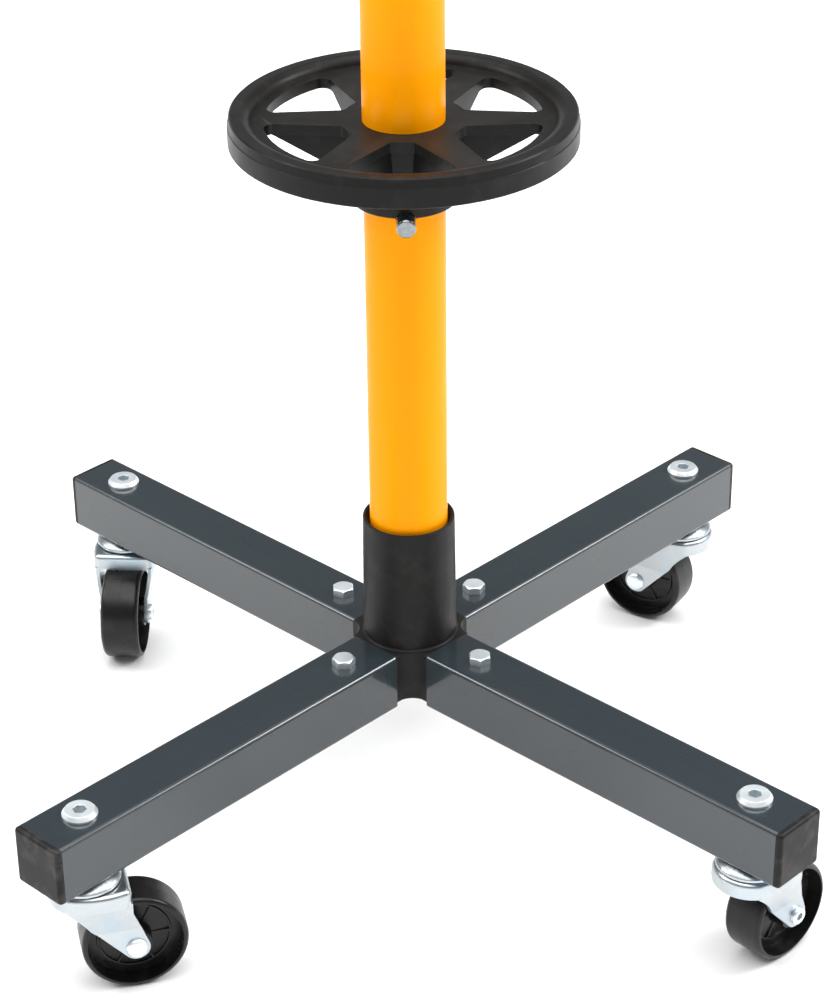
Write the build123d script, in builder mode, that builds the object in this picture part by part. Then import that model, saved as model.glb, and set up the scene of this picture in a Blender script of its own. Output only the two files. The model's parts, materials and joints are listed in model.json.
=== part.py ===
"""Mobile pole stand: a cross of four square-tube legs on swivel casters, a round column in a
moulded hub, and a spoked support disc resting on a pin through the column.

Frame: millimetres, +Z up, origin on the floor under the column. The legs lie along +X, +Y, -X
and -Y, and are numbered 1 to 4 in that order.
"""

import math
import os

from build123d import *

os.makedirs("parts", exist_ok=True)

# ---------------------------------------------------------------- driving dimensions
# Heights above the floor
leg_bottom = 65.0  # the casters' mounting height
leg_size = 30.0  # square tube, outside
leg_top = leg_bottom + leg_size
leg_middle = leg_bottom + leg_size / 2
socket_top = leg_top + 65.0
column_seat = leg_bottom + 8.0
column_top = 515.0
rim_top = 370.6
disc_hub_bottom = 327.5
pin_height = 326.5

# Legs
leg_wall = 1.5
leg_corner = 2.0
leg_start = 25.2  # from the column's axis to the tube's inner end
leg_end = 239.5
leg_angles = {1: 0, 2: 90, 3: 180, 4: 270}
leg_bolt_reach = 47.0
leg_hole_radius = 3.3
caster_reach = 216.0
cap_flange = 3.2

# Hub and column
column_radius = 19.0
column_wall = 1.5
socket_radius_top = 22.5
socket_radius_bottom = 23.2
socket_bore = column_radius + 0.2
hub_core_bottom = leg_bottom + 3.7
spigot_size = leg_size - 2 * leg_wall - 0.4
spigot_reach = 72.0

# Leg fasteners, M6
bolt_flats = 10.0
bolt_head_height = 4.0
nut_height = 6.0
washer_thickness = 1.2
sleeve_head_radius = 8.4
sleeve_head_height = 3.0

# Support disc and its pin
rim_radius = 80.0
rim_height = 14.1
rim_wall = 2.8
web_top = rim_top - 4.2
web_thickness = 5.0
window_outer = 63.8
window_inner = 29.0
spoke_width_inside = 20.0  # at the hub
spoke_width_outside = 12.6  # at the rim
spoke_wall = 2.4
disc_hub_radius = 24.8
disc_bore = column_radius + 0.3
pin_heading = -45.0  # degrees about Z, halfway between legs 4 and 1
window_heading = pin_heading - 2.5
pin_radius = 4.5
pin_length = 68.0
pin_hole_radius = 5.3
notch_radius = 5.0

# Casters, in their own frame: pivot axis at x = y = 0, trail along +X, floor at z = 0
trail = 20.0
wheel_radius = 25.0
wheel_width = 20.5
wheel_hub_width = 21.9
axle_radius = 3.0
axle_hole_radius = 3.05
bush_radius = 4.4
sheet = 1.8  # fork's steel
fork_half_width = 13.05  # outside of the fork at the axle
crown_radius = 17.8
crown_front = 19.3  # along the trail
crown_front_half_width = 15.2
round_end = 6.3  # fork's lower end, about the axle
crown_top = leg_bottom - 5.8
crown_edge = crown_top - 8.2
cup_radius = 16.6
ball_radius = 1.4
ball_circle = 11.6
ball_count = 16
stud_radius = 4.0
pivot_radius = 5.0
running_gap = 0.05
# Heading of each caster's trail, degrees about Z, as left after a push
caster_headings = {1: 88.0, 2: 192.0, 3: -50.0, 4: 57.0}
# Side of the trail on which the axle's domed head sits: left (1) or right (-1)
axle_head_sides = {1: 1, 2: 1, 3: -1, 4: -1}


def save(shape, name):
    """Labels a finished piece and writes it to its own STEP file."""
    shape.label = name
    export_step(shape, f"parts/{name}.step")


def on_leg(shape, number):
    """The shape turned from leg 1 to another leg."""
    return shape.moved(Location((0, 0, 0), (0, 0, leg_angles[number])))


def four_on_legs(shape):
    """A group of four separate solids, one on each leg."""
    return Compound(children=[on_leg(shape, number) for number in leg_angles])


def spoke_heading(spoke):
    """Direction of one of the disc's spokes, in degrees about Z."""
    return window_heading + 30 + 60 * spoke


def at_caster(shape, number):
    """The shape moved from a caster's own frame to the end of its leg."""
    angle = math.radians(leg_angles[number])
    x, y = caster_reach * math.cos(angle), caster_reach * math.sin(angle)
    return shape.moved(Location((x, y, 0), (0, 0, caster_headings[number])))


# ---------------------------------------------------------------- base hub
with BuildPart() as base_hub:
    # Cross between the four tubes, with hollow corners
    with BuildSketch(Plane.XY.offset(hub_core_bottom)) as cross:
        Rectangle(2 * leg_start, leg_size)
        Rectangle(leg_size, 2 * leg_start)
        fillet(cross.vertices().group_by(lambda v: abs(v.X) + abs(v.Y))[0], leg_start - leg_size / 2 - 0.3)
    extrude(amount=leg_top - hub_core_bottom)
    # Spigots that the tubes slide over
    with BuildSketch(Plane.XY.offset(leg_middle - spigot_size / 2)):
        Rectangle(2 * spigot_reach, spigot_size)
        Rectangle(spigot_size, 2 * spigot_reach)
    extrude(amount=spigot_size)
    for axis in (Axis.X, Axis.Y):
        for end in (0, -1):
            chamfer(base_hub.faces().sort_by(axis)[end].edges(), 1.2)
    # Tapered socket for the column, with a small root fillet
    with BuildSketch(Plane.XZ):
        with BuildLine():
            Polyline(
                (0, leg_top - 2),
                (socket_radius_bottom + 0.8, leg_top - 2),
                (socket_radius_bottom + 0.8, leg_top),
                (socket_radius_bottom, leg_top + 0.8),
                (socket_radius_top, socket_top - 0.5),
                (socket_radius_top - 0.5, socket_top),
                (0, socket_top),
                close=True,
            )
        make_face()
    revolve(axis=Axis.Z)
    # Bore with a flared mouth
    with BuildSketch(Plane.XZ):
        with BuildLine():
            Polyline(
                (0, column_seat),
                (socket_bore, column_seat),
                (socket_bore, socket_top - 4),
                (socket_bore + 2, socket_top),
                (socket_bore + 2, socket_top + 1),
                (0, socket_top + 1),
                close=True,
            )
        make_face()
    revolve(axis=Axis.Z, mode=Mode.SUBTRACT)
    with Locations((0, 0, leg_middle)):
        with PolarLocations(leg_bolt_reach, 4):
            Hole(leg_hole_radius)
save(base_hub.part, "base_hub")

# ---------------------------------------------------------------- legs
tube_inside = leg_size - 2 * leg_wall
with BuildPart() as leg:
    with BuildSketch(Plane.YZ.offset(leg_start)):
        with Locations((0, leg_middle)):
            RectangleRounded(leg_size, leg_size, leg_corner)
            RectangleRounded(tube_inside, tube_inside, 0.6, mode=Mode.SUBTRACT)
    extrude(amount=leg_end - leg_start)
    with Locations((leg_bolt_reach, 0, leg_middle)):
        Hole(leg_hole_radius)
    # The sleeve nut enters from above, the caster's stud from below
    for hole_radius, depth in ((5.2, leg_size), (stud_radius + 0.3, -leg_size)):
        with BuildSketch(Plane.XY.offset(leg_middle)):
            with Locations((caster_reach, 0)):
                Circle(hole_radius)
        extrude(amount=depth, mode=Mode.SUBTRACT)

with BuildPart() as leg_end_cap:
    with BuildSketch(Plane.YZ.offset(leg_end)):
        with Locations((0, leg_middle)):
            RectangleRounded(leg_size, leg_size, 2.2)
    extrude(amount=cap_flange)
    fillet(leg_end_cap.faces().sort_by(Axis.X)[-1].edges(), 2.0)
    # Hollow plug that grips the inside of the tube
    with BuildSketch(Plane.YZ.offset(leg_end)):
        with Locations((0, leg_middle)):
            RectangleRounded(tube_inside - 0.3, tube_inside - 0.3, 1.2)
            RectangleRounded(tube_inside - 4.5, tube_inside - 4.5, 1.0, mode=Mode.SUBTRACT)
    extrude(amount=-11)

for number in leg_angles:
    save(on_leg(leg.part, number), f"leg_{number}")
    save(on_leg(leg_end_cap.part, number), f"leg_end_cap_{number}")

# ---------------------------------------------------------------- leg fasteners, drawn on leg 1
with BuildPart() as leg_bolt:
    with BuildSketch(Plane.XY.offset(leg_top)):
        with Locations((leg_bolt_reach, 0)):
            RegularPolygon(bolt_flats / 2, 6, major_radius=False, rotation=17)
    extrude(amount=bolt_head_height)
    # Turned chamfer on the hexagon's top
    with BuildSketch(Plane.XZ):
        with BuildLine():
            Polyline(
                (leg_bolt_reach, leg_top),
                (leg_bolt_reach + 6, leg_top),
                (leg_bolt_reach + 6, leg_top + bolt_head_height - 0.8),
                (leg_bolt_reach + 4.6, leg_top + bolt_head_height),
                (leg_bolt_reach, leg_top + bolt_head_height),
                close=True,
            )
        make_face()
    revolve(axis=Axis((leg_bolt_reach, 0, 0), (0, 0, 1)), mode=Mode.INTERSECT)
    with BuildSketch(Plane.XY.offset(leg_top)):
        with Locations((leg_bolt_reach, 0)):
            Circle(3.0)
    extrude(amount=-(leg_size + washer_thickness + nut_height + 2))
    chamfer(leg_bolt.faces().sort_by(Axis.Z)[0].edges(), 0.7)
save(four_on_legs(leg_bolt.part), "leg_bolts")

with BuildPart() as leg_washer:
    with BuildSketch(Plane.XY.offset(leg_bottom)):
        with Locations((leg_bolt_reach, 0)):
            Circle(6.0)
            Circle(3.2, mode=Mode.SUBTRACT)
    extrude(amount=-washer_thickness)
save(four_on_legs(leg_washer.part), "leg_washers")

with BuildPart() as leg_nut:
    nut_top = leg_bottom - washer_thickness
    with BuildSketch(Plane.XY.offset(nut_top)):
        with Locations((leg_bolt_reach, 0)):
            RegularPolygon(bolt_flats / 2, 6, major_radius=False)
    extrude(amount=-(nut_height - 1.4))
    # Collar that holds the locking ring
    with BuildSketch(Plane.XY.offset(nut_top)):
        with Locations((leg_bolt_reach, 0)):
            Circle(4.6)
    extrude(amount=-nut_height)
    fillet(leg_nut.faces().sort_by(Axis.Z)[0].edges(), 0.8)
    with Locations((leg_bolt_reach, 0, leg_bottom)):
        Hole(3.04)
save(four_on_legs(leg_nut.part), "leg_nuts")

with BuildPart() as sleeve_nut:
    with BuildSketch(Plane.XZ):
        with BuildLine():
            Polyline(
                (0, leg_top - 22),
                (5.0, leg_top - 22),
                (5.0, leg_top),
                (sleeve_head_radius, leg_top),
                (sleeve_head_radius, leg_top + 1.1),
                (sleeve_head_radius - 1.4, leg_top + sleeve_head_height),
                (0, leg_top + sleeve_head_height),
                close=True,
            )
        make_face()
    revolve(axis=Axis.Z)
    with BuildSketch(Plane.XY.offset(leg_top + sleeve_head_height)):
        RegularPolygon(2.9, 6, major_radius=False)
    extrude(amount=-6, mode=Mode.SUBTRACT)
    with BuildSketch(Plane.XY.offset(leg_top - 22)):
        Circle(stud_radius + 0.04)
    extrude(amount=20, mode=Mode.SUBTRACT)
save(four_on_legs(sleeve_nut.part.moved(Location((caster_reach, 0, 0), (0, 0, 12)))), "sleeve_nuts")

# ---------------------------------------------------------------- column
pin_angle = math.radians(pin_heading)
pin_plane = Plane(
    origin=(0, 0, pin_height), x_dir=(0, 0, 1), z_dir=(math.cos(pin_angle), math.sin(pin_angle), 0)
)
with BuildPart() as column:
    with BuildSketch(Plane.XY.offset(column_seat)):
        Circle(column_radius)
        Circle(column_radius - column_wall, mode=Mode.SUBTRACT)
    extrude(amount=column_top - column_seat)
    # Cross hole; the pin lies on the bottom of it
    with BuildSketch(pin_plane):
        with Locations((pin_hole_radius - pin_radius - 0.05, 0)):
            Circle(pin_hole_radius)
    extrude(amount=2 * column_radius, both=True, mode=Mode.SUBTRACT)
save(column.part, "column")

with BuildPart() as column_plug:
    with BuildSketch(Plane.XY.offset(column_top)):
        Circle(column_radius)
    extrude(amount=3)
    fillet(column_plug.faces().sort_by(Axis.Z)[-1].edges(), 1.6)
    with BuildSketch(Plane.XY.offset(column_top)):
        Circle(column_radius - column_wall - 0.1)
        Circle(column_radius - column_wall - 2, mode=Mode.SUBTRACT)
    extrude(amount=-15)
save(column_plug.part, "column_plug")

# ---------------------------------------------------------------- support disc and its pin
rim_bottom = rim_top - rim_height
band = rim_top - 4.6  # lower edge of the inset band round the rim
with BuildPart() as support_disc:
    # Rim, web and hub in one section; the rim's crown is flat outside and rolls down inwards
    with BuildSketch(Plane.XZ):
        with BuildLine():
            Polyline(
                (rim_radius - 5, rim_top),
                (rim_radius - 1.5, rim_top),
                (rim_radius - 0.8, rim_top - 0.7),
                (rim_radius - 0.3, band),
                (rim_radius, band - 0.3),
                (rim_radius, rim_bottom + 0.6),
                (rim_radius - 0.6, rim_bottom),
                (rim_radius - rim_wall, rim_bottom),
                (rim_radius - rim_wall - 0.3, web_top - web_thickness),
                (disc_hub_radius + 3.2, web_top - web_thickness),
                (disc_hub_radius, disc_hub_bottom + 0.5),
                (disc_hub_radius - 0.5, disc_hub_bottom),
                (disc_bore, disc_hub_bottom),
                (disc_bore, web_top),
                (rim_radius - 11, web_top),
            )
            ThreePointArc(
                (rim_radius - 11, web_top),
                (rim_radius - 9.1, rim_top - 1.25),
                (rim_radius - 5, rim_top),
            )
        make_face()
    revolve(axis=Axis.Z)
    # Six windows between spokes that narrow towards the rim
    with BuildSketch(Plane.XY.offset(web_top)) as windows:
        Circle(window_outer)
        Circle(window_inner, mode=Mode.SUBTRACT)
        for spoke in range(6):
            with BuildLine(Plane.XY.rotated((0, 0, spoke_heading(spoke)))):
                inside, outside = spoke_width_inside / 2, spoke_width_outside / 2
                Polyline(
                    (window_inner - 5, inside),
                    (window_outer + 5, outside),
                    (window_outer + 5, -outside),
                    (window_inner - 5, -inside),
                    close=True,
                )
            make_face(mode=Mode.SUBTRACT)
        fillet(windows.vertices().filter_by(lambda v: math.hypot(v.X, v.Y) < 45), 2.6)
        fillet(windows.vertices().filter_by(lambda v: math.hypot(v.X, v.Y) > 60), 4.2)
    extrude(amount=-40, mode=Mode.SUBTRACT)
    # Two walls under each spoke, set back from its edges, deep at the hub and gone at the rim
    for spoke in range(6):
        for side in (-1, 1):
            wall_lean = math.degrees(math.atan2(outside - inside, window_outer - window_inner))
            wall_plane = Plane(
                origin=Vector(window_inner, side * (inside - 1.0 - spoke_wall / 2), 0).rotate(
                    Axis.Z, spoke_heading(spoke)
                ),
                x_dir=Vector(1, 0, 0).rotate(Axis.Z, spoke_heading(spoke) + side * wall_lean),
                z_dir=Vector(0, -1, 0).rotate(Axis.Z, spoke_heading(spoke) + side * wall_lean),
            )
            with BuildSketch(wall_plane):
                with BuildLine():
                    Polyline(
                        (-6, web_top - 2),
                        (-6, web_top - 24.5),
                        (-3, web_top - 23.3),
                        (31.5, web_top - web_thickness),
                        (34, web_top - 2),
                        close=True,
                    )
                make_face()
            extrude(amount=spoke_wall / 2, both=True)
    with BuildSketch(Plane.XY.offset(web_top)):
        Circle(disc_bore)
    extrude(amount=-60, mode=Mode.SUBTRACT)
    # Notches over the pin, in the hub's lower end
    with BuildSketch(pin_plane):
        with Locations((pin_radius + 0.05 - notch_radius, 0)):
            Circle(notch_radius)
    extrude(amount=disc_hub_radius + 4, both=True, mode=Mode.SUBTRACT)
save(support_disc.part, "support_disc")

with BuildPart() as locking_pin:
    with BuildSketch(pin_plane):
        Circle(pin_radius)
    extrude(amount=pin_length / 2, both=True)
    chamfer(locking_pin.edges().filter_by(GeomType.CIRCLE), 0.7)
save(locking_pin.part, "locking_pin")

# ---------------------------------------------------------------- caster pieces, in their own frame
with BuildPart() as caster_stud:
    # Riveted foot, pivot shank and threaded stem, one turned piece
    with BuildSketch(Plane.XZ):
        with BuildLine():
            foot_top = crown_top - sheet - running_gap
            Polyline(
                (0, foot_top - 3),
                (6.5, foot_top - 3),
                (8.0, foot_top - 2),
                (8.0, foot_top),
                (pivot_radius, foot_top),
                (pivot_radius, leg_bottom),
                (stud_radius, leg_bottom),
                (stud_radius, leg_bottom + 24.2),
                (stud_radius - 0.8, leg_bottom + 25),
                (0, leg_bottom + 25),
                close=True,
            )
        make_face()
    revolve(axis=Axis.Z)

with BuildPart() as caster_cup:
    # Dished plate that bears on the leg, with the upper ball track under its rolled skirt
    with BuildSketch(Plane.XZ):
        with BuildLine():
            Polyline(
                (pivot_radius, leg_bottom),
                (10.5, leg_bottom),
                (cup_radius - 1.3, leg_bottom - 2.6),
                (cup_radius, leg_bottom - 3.9),
                (cup_radius, leg_bottom - 5.2),
                (cup_radius - 1.3, leg_bottom - 5.2),
                (cup_radius - 1.5, leg_bottom - 4.4),
                (10.0, leg_bottom - 1.6),
                (pivot_radius, leg_bottom - 1.6),
                close=True,
            )
        make_face()
    revolve(axis=Axis.Z)

with BuildPart() as ball_ring:
    with Locations((0, 0, crown_top + ball_radius + 0.02)):
        with PolarLocations(ball_circle, ball_count):
            Sphere(ball_radius)

# Where the crown's round back passes into its sides, seen from above
side_start = -10.0
side_start_half_width = math.sqrt(crown_radius**2 - side_start**2)
side_middle = (side_start + crown_front) / 2

with BuildPart() as fork_legs:
    # Two bands that follow the crown's sides at the top and run straight beside the wheel
    shoulder = 36.0
    for side in (-1, 1):
        for height, rear, front, middle in (
            (
                crown_edge + 1,
                (side_start, side_start_half_width),
                (crown_front, crown_front_half_width),
                (side_middle, crown_radius - 0.1),
            ),
            (
                shoulder,
                (side_start - 10, fork_half_width + 0.1),
                (crown_front + 8, fork_half_width + 0.1),
                (side_middle, fork_half_width + 0.5),
            ),
        ):
            with BuildSketch(Plane.XY.offset(height)):
                with BuildLine():
                    corners = [
                        (x, side * (y - inset)) for inset in (0, sheet) for x, y in (rear, middle, front)
                    ]
                    ThreePointArc(*corners[:3])
                    Line(corners[2], corners[5])
                    ThreePointArc(*corners[:2:-1])
                    Line(corners[3], corners[0])
                make_face()
        loft()
        with BuildSketch(Plane.XY.offset(shoulder + 0.5)):
            with Locations((side_middle, side * (fork_half_width - sheet / 2))):
                Rectangle(54, sheet)
        extrude(amount=-shoulder / 2)
    # Side view: straight front edge, round end about the axle, rear edge that curves into the crown
    with BuildSketch(Plane.XZ):
        with BuildLine():
            front_foot = (trail + 0.947 * round_end, wheel_radius + 0.322 * round_end)
            rear_foot = (trail - 0.743 * round_end, wheel_radius - 0.669 * round_end)
            Polyline(
                (side_start - 1, crown_edge),
                (side_start - 1, crown_edge + 3),
                (crown_front, crown_edge + 3),
                (crown_front, 46),
                front_foot,
            )
            ThreePointArc(front_foot, (trail, wheel_radius - round_end), rear_foot)
            Line(rear_foot, (-0.7, 38.6))
            ThreePointArc((-0.7, 38.6), (-5.2, 45.4), (side_start - 1, crown_edge))
        make_face()
    extrude(amount=30, both=True, mode=Mode.INTERSECT)

with BuildPart() as caster_fork:
    # Crown: a dish with a round back and a nearly straight front, open below
    with BuildSketch(Plane.XY.offset(crown_edge)) as crown_outline:
        with BuildLine():
            ThreePointArc(
                (side_start, -side_start_half_width),
                (-crown_radius, 0),
                (side_start, side_start_half_width),
            )
            for side in (-1, 1):
                ThreePointArc(
                    (side_start, side * side_start_half_width),
                    (side_middle, side * (crown_radius - 0.1)),
                    (crown_front, side * crown_front_half_width),
                )
            Line((crown_front, -crown_front_half_width), (crown_front, crown_front_half_width))
        make_face()
        fillet(crown_outline.vertices().sort_by(Axis.X)[-2:], 3.5)
    extrude(amount=crown_top - crown_edge)
    fillet(caster_fork.faces().sort_by(Axis.Z)[-1].edges(), 2.6)
    with BuildSketch(Plane.XY.offset(crown_edge)):
        add(offset(crown_outline.sketch, -sheet))
    extrude(amount=crown_top - crown_edge - sheet, mode=Mode.SUBTRACT)
    add(fork_legs.part)
    with Locations((0, 0, crown_top)):
        Hole(pivot_radius + running_gap)
    with BuildSketch(Plane.XZ):
        with Locations((trail, wheel_radius)):
            Circle(axle_hole_radius)
    extrude(amount=30, both=True, mode=Mode.SUBTRACT)

# Turned pieces about the axle are drawn upright, along +Z, and laid down afterwards
with BuildPart() as axle:
    with BuildSketch(Plane.XZ):
        with BuildLine():
            Polyline(
                (0, -fork_half_width - 2.2),
                (3.8, -fork_half_width - 2.2),
                (4.4, -fork_half_width - 1.5),
                (4.4, -fork_half_width),
                (axle_radius, -fork_half_width),
                (axle_radius, fork_half_width),
                (5.1, fork_half_width),
                (5.1, fork_half_width + 0.8),
                (4.4, fork_half_width + 1.7),
                (3.0, fork_half_width + 2.3),
                (0, fork_half_width + 2.5),
                close=True,
            )
        make_face()
    revolve(axis=Axis.Z)
    # Hollow of the rolled-over end
    with BuildSketch(Plane.XY.offset(-fork_half_width - 2.2)):
        Circle(1.9)
    extrude(amount=4, mode=Mode.SUBTRACT)

with BuildPart() as bush:
    with BuildSketch(Plane.XY.offset(-wheel_hub_width / 2 - 0.1)):
        Circle(bush_radius)
        Circle(axle_hole_radius, mode=Mode.SUBTRACT)
    extrude(amount=wheel_hub_width + 0.2)

with BuildPart() as wheel:
    # Thin rim with round shoulders and a parting line, flat web with a ring on it, long hub
    with BuildSketch(Plane.XZ):
        with BuildLine():
            half, hub_half = wheel_width / 2, wheel_hub_width / 2
            Polyline(
                (bush_radius, -hub_half),
                (7.6, -hub_half),
                (8.2, -3.0),
                (16.4, -2.4),
                (16.6, -3.4),
                (17.4, -3.4),
                (17.6, -2.4),
                (21.8, -2.4),
                (22.4, -half),
                (22.8, -half),
            )
            ThreePointArc((22.8, -half), (24.3, -half + 0.8), (wheel_radius, -half + 2.8))
            Polyline(
                (wheel_radius, -half + 2.8),
                (wheel_radius, -0.3),
                (wheel_radius + 0.12, 0),
                (wheel_radius, 0.3),
                (wheel_radius, half - 2.8),
            )
            ThreePointArc((wheel_radius, half - 2.8), (24.3, half - 0.8), (22.8, half))
            Polyline(
                (22.8, half),
                (22.4, half),
                (21.8, 2.4),
                (17.6, 2.4),
                (17.4, 3.4),
                (16.6, 3.4),
                (16.4, 2.4),
                (8.2, 3.0),
                (7.6, hub_half),
                (bush_radius, hub_half),
                (bush_radius, -hub_half),
            )
        make_face()
    revolve(axis=Axis.Z)
    # Low radial ribs between hub and ring, on both faces
    with BuildSketch(Plane.XY.offset(-3.4)):
        with PolarLocations(12.3, 6):
            Rectangle(9.5, 0.9)
    extrude(amount=6.8)

laid_on_axle = Location((trail, 0, wheel_radius), (-90, 0, 0))
for number in leg_angles:
    turned = Location((trail, 0, wheel_radius), (-90 * axle_head_sides[number], 0, 0))
    save(at_caster(caster_stud.part, number), f"caster_{number}_stud")
    save(at_caster(caster_cup.part, number), f"caster_{number}_cup")
    save(at_caster(ball_ring.part, number), f"caster_{number}_balls")
    save(at_caster(caster_fork.part, number), f"caster_{number}_fork")
    save(at_caster(axle.part.moved(turned), number), f"caster_{number}_axle")
    save(at_caster(bush.part.moved(laid_on_axle), number), f"caster_{number}_bush")
    save(at_caster(wheel.part.moved(laid_on_axle), number), f"caster_{number}_wheel")
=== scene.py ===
"""Looks and studio for the mobile pole stand. All lengths are in metres, in the CAD model's frame."""

import json
import math

import bmesh
import bpy
from mathutils import Matrix, Vector


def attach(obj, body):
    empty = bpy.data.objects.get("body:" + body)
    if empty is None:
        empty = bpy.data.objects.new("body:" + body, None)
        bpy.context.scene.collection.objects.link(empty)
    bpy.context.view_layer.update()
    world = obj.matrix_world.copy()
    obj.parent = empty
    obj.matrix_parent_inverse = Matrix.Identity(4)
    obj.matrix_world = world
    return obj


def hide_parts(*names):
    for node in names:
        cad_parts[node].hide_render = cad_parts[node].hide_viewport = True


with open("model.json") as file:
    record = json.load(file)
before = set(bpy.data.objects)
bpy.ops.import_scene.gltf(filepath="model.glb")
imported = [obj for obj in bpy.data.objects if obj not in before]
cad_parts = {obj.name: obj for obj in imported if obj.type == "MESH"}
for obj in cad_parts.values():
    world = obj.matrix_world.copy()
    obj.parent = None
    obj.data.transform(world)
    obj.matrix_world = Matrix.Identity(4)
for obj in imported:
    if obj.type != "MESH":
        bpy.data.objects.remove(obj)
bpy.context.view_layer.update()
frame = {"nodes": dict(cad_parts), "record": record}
nodes = frame["nodes"]
MM = 0.001


# ---------------------------------------------------------------- materials
class Finish:
    """A node-based material on the Principled shader, grown step by step."""

    def __init__(self, name, roughness, metallic=0.0, ior=1.5, coat=0.0, coat_roughness=0.1):
        self.material = bpy.data.materials.new(name)
        self.material.use_nodes = True
        self.tree = self.material.node_tree
        self.shader = self.tree.nodes["Principled BSDF"]
        self.shader.inputs["Roughness"].default_value = roughness
        self.shader.inputs["Metallic"].default_value = metallic
        self.shader.inputs["IOR"].default_value = ior
        self.shader.inputs["Coat Weight"].default_value = coat
        self.shader.inputs["Coat Roughness"].default_value = coat_roughness
        self.place = self.node("ShaderNodeTexCoord").outputs["Object"]
        self.height = None

    def node(self, kind, **settings):
        made = self.tree.nodes.new(kind)
        for key, value in settings.items():
            setattr(made, key, value)
        return made

    def link(self, output, target):
        self.tree.links.new(output, target)

    def stretched(self, scale):
        """Object coordinates, stretched along the axes."""
        mapping = self.node("ShaderNodeMapping")
        mapping.inputs["Scale"].default_value = scale
        self.link(self.place, mapping.inputs["Vector"])
        return mapping.outputs["Vector"]

    def noise(self, size, detail=3.0, stretch=(1, 1, 1), distortion=0.0):
        """Noise whose lumps are about size metres across."""
        texture = self.node("ShaderNodeTexNoise")
        texture.inputs["Scale"].default_value = 1 / size
        texture.inputs["Detail"].default_value = detail
        texture.inputs["Distortion"].default_value = distortion
        self.link(self.stretched(stretch), texture.inputs["Vector"])
        return texture.outputs["Fac"]

    def mapped(self, value, low, high, to_low, to_high):
        """value from low..high, mapped to to_low..to_high and clamped there."""
        ramp = self.node("ShaderNodeMapRange")
        sockets = ("From Min", "From Max", "To Min", "To Max")
        for socket, number in zip(sockets, (low, high, to_low, to_high)):
            ramp.inputs[socket].default_value = number
        self.link(value, ramp.inputs["Value"])
        return ramp.outputs["Result"]

    def edges(self, low, high, amount):
        """amount on convex edges, falling to 0 on flat faces."""
        pointiness = self.node("ShaderNodeNewGeometry").outputs["Pointiness"]
        return self.mapped(pointiness, low, high, 0, amount)

    def colour(self, first, second, factor):
        """Mixes two colours by factor into the base colour."""
        mix = self.node("ShaderNodeMix", data_type="RGBA")
        mix.inputs["A"].default_value = (*first, 1)
        mix.inputs["B"].default_value = (*second, 1)
        self.link(factor, mix.inputs["Factor"])
        self.link(mix.outputs["Result"], self.shader.inputs["Base Color"])

    def tint(self, colour, factor):
        """Mixes one more colour over the base colour."""
        before = self.shader.inputs["Base Color"].links[0].from_socket
        mix = self.node("ShaderNodeMix", data_type="RGBA")
        mix.inputs["B"].default_value = (*colour, 1)
        self.link(before, mix.inputs["A"])
        self.link(factor, mix.inputs["Factor"])
        self.link(mix.outputs["Result"], self.shader.inputs["Base Color"])

    def roughness(self, value, to_low, to_high):
        """Roughness from to_low to_high, following the middle range of a noise."""
        self.link(self.mapped(value, 0.3, 0.7, to_low, to_high), self.shader.inputs["Roughness"])

    def bump(self, value, height):
        """Raises the surface by value times height metres; several bumps add up."""
        bump = self.node("ShaderNodeBump")
        bump.inputs["Distance"].default_value = height
        bump.inputs["Strength"].default_value = 1.0
        self.link(value, bump.inputs["Height"])
        if self.height is not None:
            self.link(self.height, bump.inputs["Normal"])
        self.height = bump.outputs["Normal"]
        self.link(self.height, self.shader.inputs["Normal"])


def powder_coat():
    """Graphite powder coat: low orange peel under a clear gloss, paler on worn edges."""
    dark, light, worn = (0.014, 0.022, 0.028), (0.017, 0.026, 0.032), (0.10, 0.11, 0.115)
    finish = Finish("graphite_powder_coat", 0.3, ior=1.36, coat=0.86, coat_roughness=0.07)
    finish.colour(dark, light, finish.noise(60 * MM, 2))
    finish.tint(worn, finish.edges(0.54, 0.64, 0.3))
    finish.roughness(finish.noise(45 * MM, 1), 0.26, 0.3)
    finish.bump(finish.noise(9 * MM, 0), 0.0015 * MM)
    return finish.material


def column_enamel():
    """Yellow-orange enamel with faint long ripples from the tube."""
    deep, bright = (1.0, 0.335, 0.0), (1.0, 0.355, 0.0)
    finish = Finish("yellow_enamel", 0.35, ior=1.12, coat=0.07, coat_roughness=0.08)
    finish.colour(deep, bright, finish.noise(50 * MM, 2, (1, 1, 0.3)))
    finish.roughness(finish.noise(20 * MM, 3), 0.32, 0.42)
    finish.bump(finish.noise(12 * MM, 2, (1, 1, 0.12)), 0.008 * MM)
    return finish.material


def moulded_black(name, colour, rough, ior=1.25, scuffs=0.0, grain=0.0):
    """Black moulded plastic: faint flow marks, edges rubbed paler, pale scuffs, and a fine grain."""
    flow_mark = tuple(1.4 * c for c in colour)
    rubbed, scuffed = (0.045, 0.042, 0.040), (0.055, 0.052, 0.050)
    finish = Finish(name, rough, ior=ior)
    finish.colour(colour, flow_mark, finish.noise(22 * MM, 3, distortion=0.5))
    finish.tint(rubbed, finish.edges(0.52, 0.60, 0.5))
    patches = finish.noise(9 * MM, 5, distortion=0.4)
    finish.tint(scuffed, finish.mapped(patches, 0.5, 0.72, 0, scuffs))
    finish.roughness(finish.noise(15 * MM, 3), rough - 0.04, rough + 0.05)
    finish.bump(finish.noise(2.5 * MM, 2), 0.008 * MM)
    if grain:
        finish.bump(finish.noise(0.9 * MM, 2), grain)
    return finish.material


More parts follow.
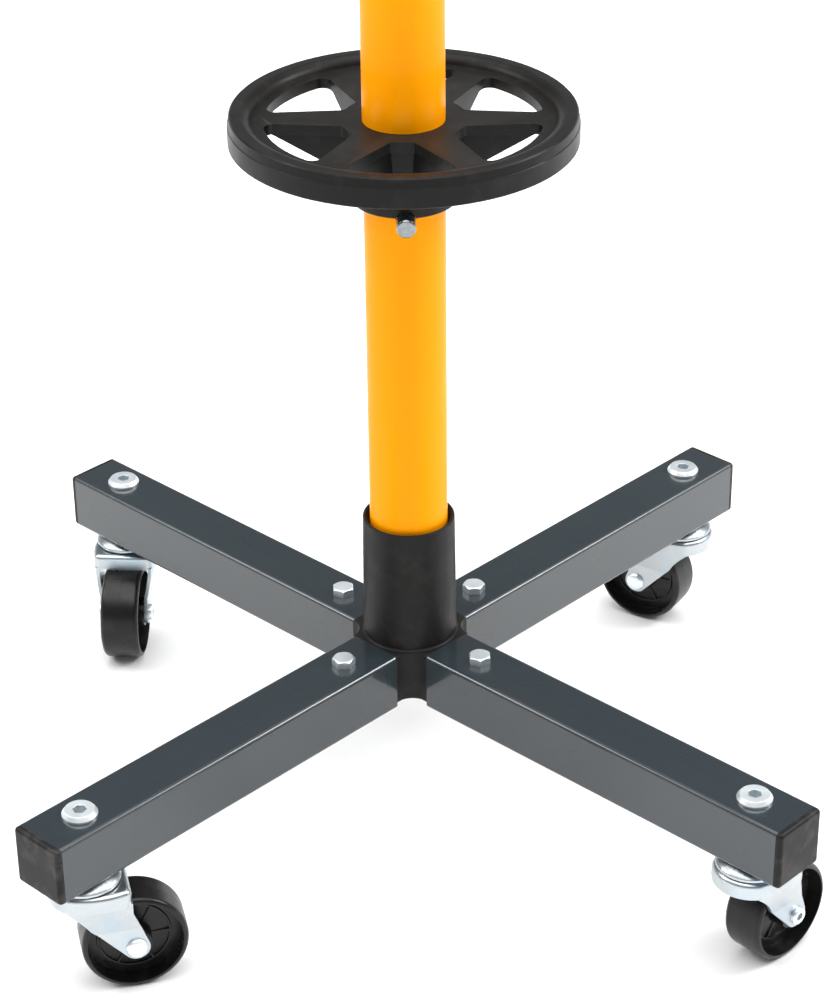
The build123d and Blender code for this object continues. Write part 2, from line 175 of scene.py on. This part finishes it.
def zinc_plate(name, rough, blue, level=1.0):
    """Bright zinc: bluish and straw-coloured passivation, slightly uneven."""
    cool, straw = (tuple(level * c for c in rgb) for rgb in ((0.46, 0.51, 0.55), (0.56, 0.58, 0.58)))
    bluish = (0.36, 0.50, 0.62)
    finish = Finish(name, rough, metallic=1.0)
    finish.colour(cool, straw, finish.noise(11 * MM, 3, distortion=0.8))
    finish.tint(bluish, finish.mapped(finish.noise(16 * MM, 2), 0.5, 0.75, 0, blue))
    finish.roughness(finish.noise(8 * MM, 2), rough - 0.03, rough + 0.04)
    finish.bump(finish.noise(5 * MM, 1), 0.003 * MM)
    return finish.material


def turned_steel():
    """Plain dark steel with a fine mottle."""
    dark, light = (0.16, 0.18, 0.19), (0.34, 0.36, 0.37)
    finish = Finish("turned_steel", 0.25, metallic=1.0)
    finish.colour(dark, light, finish.noise(2.5 * MM, 4))
    finish.roughness(finish.noise(4 * MM, 3), 0.2, 0.32)
    finish.bump(finish.noise(2 * MM, 2), 0.005 * MM)
    return finish.material


HUB_BLACK, DISC_BLACK = (0.009, 0.0085, 0.0082), (0.006, 0.0058, 0.0056)
CAP_BLACK, WHEEL_BLACK = (0.009, 0.0083, 0.008), (0.005, 0.0047, 0.0046)
BUSH_BLACK = (0.012, 0.012, 0.012)
MATERIALS = {
    "leg_paint": powder_coat(),
    "column_paint": column_enamel(),
    "hub_plastic": moulded_black("hub_moulding", HUB_BLACK, 0.45, scuffs=0.15, grain=0.03 * MM),
    "disc_plastic": moulded_black("disc_moulding", DISC_BLACK, 0.38, scuffs=0.12),
    "cap_plastic": moulded_black("cap_moulding", CAP_BLACK, 0.42, scuffs=0.75),
    "wheel_plastic": moulded_black("wheel_moulding", WHEEL_BLACK, 0.3, ior=1.36, scuffs=0.2),
    "bush_plastic": moulded_black("bush_moulding", BUSH_BLACK, 0.4),
    "fork_zinc": zinc_plate("fork_zinc_plate", 0.3, blue=0.55, level=0.92),
    "zinc_fasteners": zinc_plate("fastener_zinc_plate", 0.42, blue=0.1, level=1.6),
    "pin_steel": turned_steel(),
    "ball_steel": zinc_plate("ball_steel", 0.12, blue=0.0),
}
SLOT_OF = {part["node"]: part["material_slot"] for part in frame["record"]["subparts"]}


def paint(piece, slot):
    piece.data.materials.clear()
    piece.data.materials.append(MATERIALS[slot])


def body_of(node):
    """Name of the body that a CAD node belongs to."""
    bodies = frame["record"]["behaviour"]["bodies"]
    return next(body for body, members in bodies.items() if node in members)


def stand_in(piece, node):
    """The piece replaces one CAD node: same body, same slot."""
    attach(piece, body_of(node))
    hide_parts(node)
    paint(piece, SLOT_OF[node])


# ---------------------------------------------------------------- softened copies of CAD nodes
WELD_GAP = 0.002 * MM
FLAT_ANGLE = math.radians(0.6)    # faces that meet at less are merged into one
HARD_ANGLE = math.radians(28.0)   # edges that turn by more are rounded
ROUNDING_STEPS = 2


def softened(node, radius):
    """Adds a copy of a CAD node, with its hard edges rounded to about radius, in its place."""
    shape = bmesh.new()
    shape.from_mesh(nodes[node].data)
    bmesh.ops.remove_doubles(shape, verts=shape.verts, dist=WELD_GAP)
    bmesh.ops.dissolve_limit(shape, angle_limit=FLAT_ANGLE, verts=shape.verts, edges=shape.edges)
    hard = [e for e in shape.edges if len(e.link_faces) == 2 and e.calc_face_angle(0) > HARD_ANGLE]
    bmesh.ops.bevel(
        shape, geom=hard, offset=radius, segments=ROUNDING_STEPS, profile=0.5, affect="EDGES",
        clamp_overlap=True,
    )
    bmesh.ops.recalc_face_normals(shape, faces=shape.faces)
    mesh = bpy.data.meshes.new(node + "_finished")
    shape.to_mesh(mesh)
    shape.free()
    mesh.shade_smooth()
    mesh.set_sharp_from_angle(angle=HARD_ANGLE)
    piece = bpy.data.objects.new(node + "_finished", mesh)
    bpy.context.scene.collection.objects.link(piece)
    weighted = piece.modifiers.new("weighted", "WEIGHTED_NORMAL")
    weighted.keep_sharp = True
    stand_in(piece, node)


EDGE_RADII = {
    "base_hub": 0.35 * MM,
    "column": 0.2 * MM,
    "column_plug": 0.25 * MM,
    "support_disc": 0.3 * MM,
    "locking_pin": 0.15 * MM,
    "leg_bolts": 0.12 * MM,
    "leg_washers": 0.12 * MM,
    "leg_nuts": 0.12 * MM,
    "sleeve_nuts": 0.2 * MM,
}
for number in (1, 2, 3, 4):
    EDGE_RADII[f"leg_{number}"] = 0.25 * MM
    EDGE_RADII[f"leg_end_cap_{number}"] = 0.3 * MM
    EDGE_RADII[f"caster_{number}_stud"] = 0.2 * MM
    EDGE_RADII[f"caster_{number}_cup"] = 0.3 * MM
    EDGE_RADII[f"caster_{number}_fork"] = 0.3 * MM
    EDGE_RADII[f"caster_{number}_axle"] = 0.2 * MM
    EDGE_RADII[f"caster_{number}_bush"] = 0.15 * MM
    EDGE_RADII[f"caster_{number}_wheel"] = 0.25 * MM
for name, edge_radius in EDGE_RADII.items():
    softened(name, edge_radius)
# The caster balls keep their CAD mesh and only get a material
for name, node_object in nodes.items():
    paint(node_object, SLOT_OF[name])


# ---------------------------------------------------------------- camera
def set_camera():
    """The photograph's view: a long lens, from above the corner between legs 4 and 1."""
    target = Vector((3.4, 3.1, 167.6)) * MM
    azimuth, elevation, roll = math.radians(43.84), math.radians(29.73), math.radians(-0.62)
    distance = 1378.7 * MM
    level = math.cos(elevation)
    back = Vector((math.sin(azimuth) * level, -math.cos(azimuth) * level, math.sin(elevation)))
    right = Vector((math.cos(azimuth), math.sin(azimuth), 0))
    up = back.cross(right)
    tilted_right = right * math.cos(roll) + up * math.sin(roll)
    tilted_up = up * math.cos(roll) - right * math.sin(roll)
    data = bpy.data.cameras.new("photo_view")
    data.lens = 102.0
    data.clip_end = 100
    camera = bpy.data.objects.new("photo_view", data)
    bpy.context.scene.collection.objects.link(camera)
    turn = Matrix((tilted_right, tilted_up, back)).transposed().to_4x4()
    camera.matrix_world = Matrix.Translation(target + back * distance) @ turn
    bpy.context.scene.camera = camera


# ---------------------------------------------------------------- studio
FLOOR_HALF_SIDE = 30.0
FLOOR_LEVEL = -0.2 * MM           # just under the wheels
WORLD_STRENGTH = 2.6
LIGHTS_AIM = (0, 0, 0.2)
# Height of the view direction, from the horizon (0) to straight up (1), and how light the room is
ROOM_LIGHTNESS = ((0.0, 0.5), (0.12, 0.45), (0.3, 0.08), (0.66, 0.08), (0.85, 1.0))


def area_light(name, place, side, power):
    """A square soft box at place, turned to the stand."""
    data = bpy.data.lights.new(name, "AREA")
    data.shape = "RECTANGLE"
    data.size = data.size_y = side
    data.energy = power
    light = bpy.data.objects.new(name, data)
    bpy.context.scene.collection.objects.link(light)
    light.location = place
    towards = Vector(LIGHTS_AIM) - Vector(place)
    light.rotation_euler = towards.to_track_quat("-Z", "Y").to_euler()


def studio():
    """White floor, soft boxes above and beside, and a room that is dark between its lower walls
    and its ceiling."""
    mesh = bpy.data.meshes.new("studio_floor")
    sides = ((-1, -1), (1, -1), (1, 1), (-1, 1))
    corners = [(FLOOR_HALF_SIDE * x, FLOOR_HALF_SIDE * y, 0) for x, y in sides]
    mesh.from_pydata(corners, [], [(0, 1, 2, 3)])
    floor = bpy.data.objects.new("studio_floor", mesh)
    floor.location.z = FLOOR_LEVEL
    bpy.context.scene.collection.objects.link(floor)
    paper = Finish("studio_paper", 0.8)
    paper.colour((0.93, 0.93, 0.93), (0.95, 0.95, 0.95), paper.noise(0.5, 2))
    mesh.materials.append(paper.material)

    world = bpy.data.worlds.new("studio_room")
    bpy.context.scene.world = world
    world.use_nodes = True
    tree = world.node_tree
    direction = tree.nodes.new("ShaderNodeTexCoord").outputs["Generated"]
    split = tree.nodes.new("ShaderNodeSeparateXYZ")
    tree.links.new(direction, split.inputs[0])
    ramp = tree.nodes.new("ShaderNodeValToRGB")
    while len(ramp.color_ramp.elements) < len(ROOM_LIGHTNESS):
        ramp.color_ramp.elements.new(0.5)
    for element, (position, level) in zip(ramp.color_ramp.elements, ROOM_LIGHTNESS):
        element.position = position
        element.color = (level, level, level, 1)
    tree.links.new(split.outputs["Z"], ramp.inputs["Fac"])
    background = tree.nodes["Background"]
    background.inputs["Strength"].default_value = WORLD_STRENGTH
    tree.links.new(ramp.outputs["Color"], background.inputs["Color"])

    area_light("top_box", (0.2, -0.2, 2.2), 1.6, 12)
    area_light("left_box", (-1.45, -1.2, 1.7), 0.8, 20)
    area_light("right_box", (1.2, 1.5, 1.65), 0.8, 32)


set_camera()
studio()
bpy.context.scene.view_settings.view_transform = "Standard"
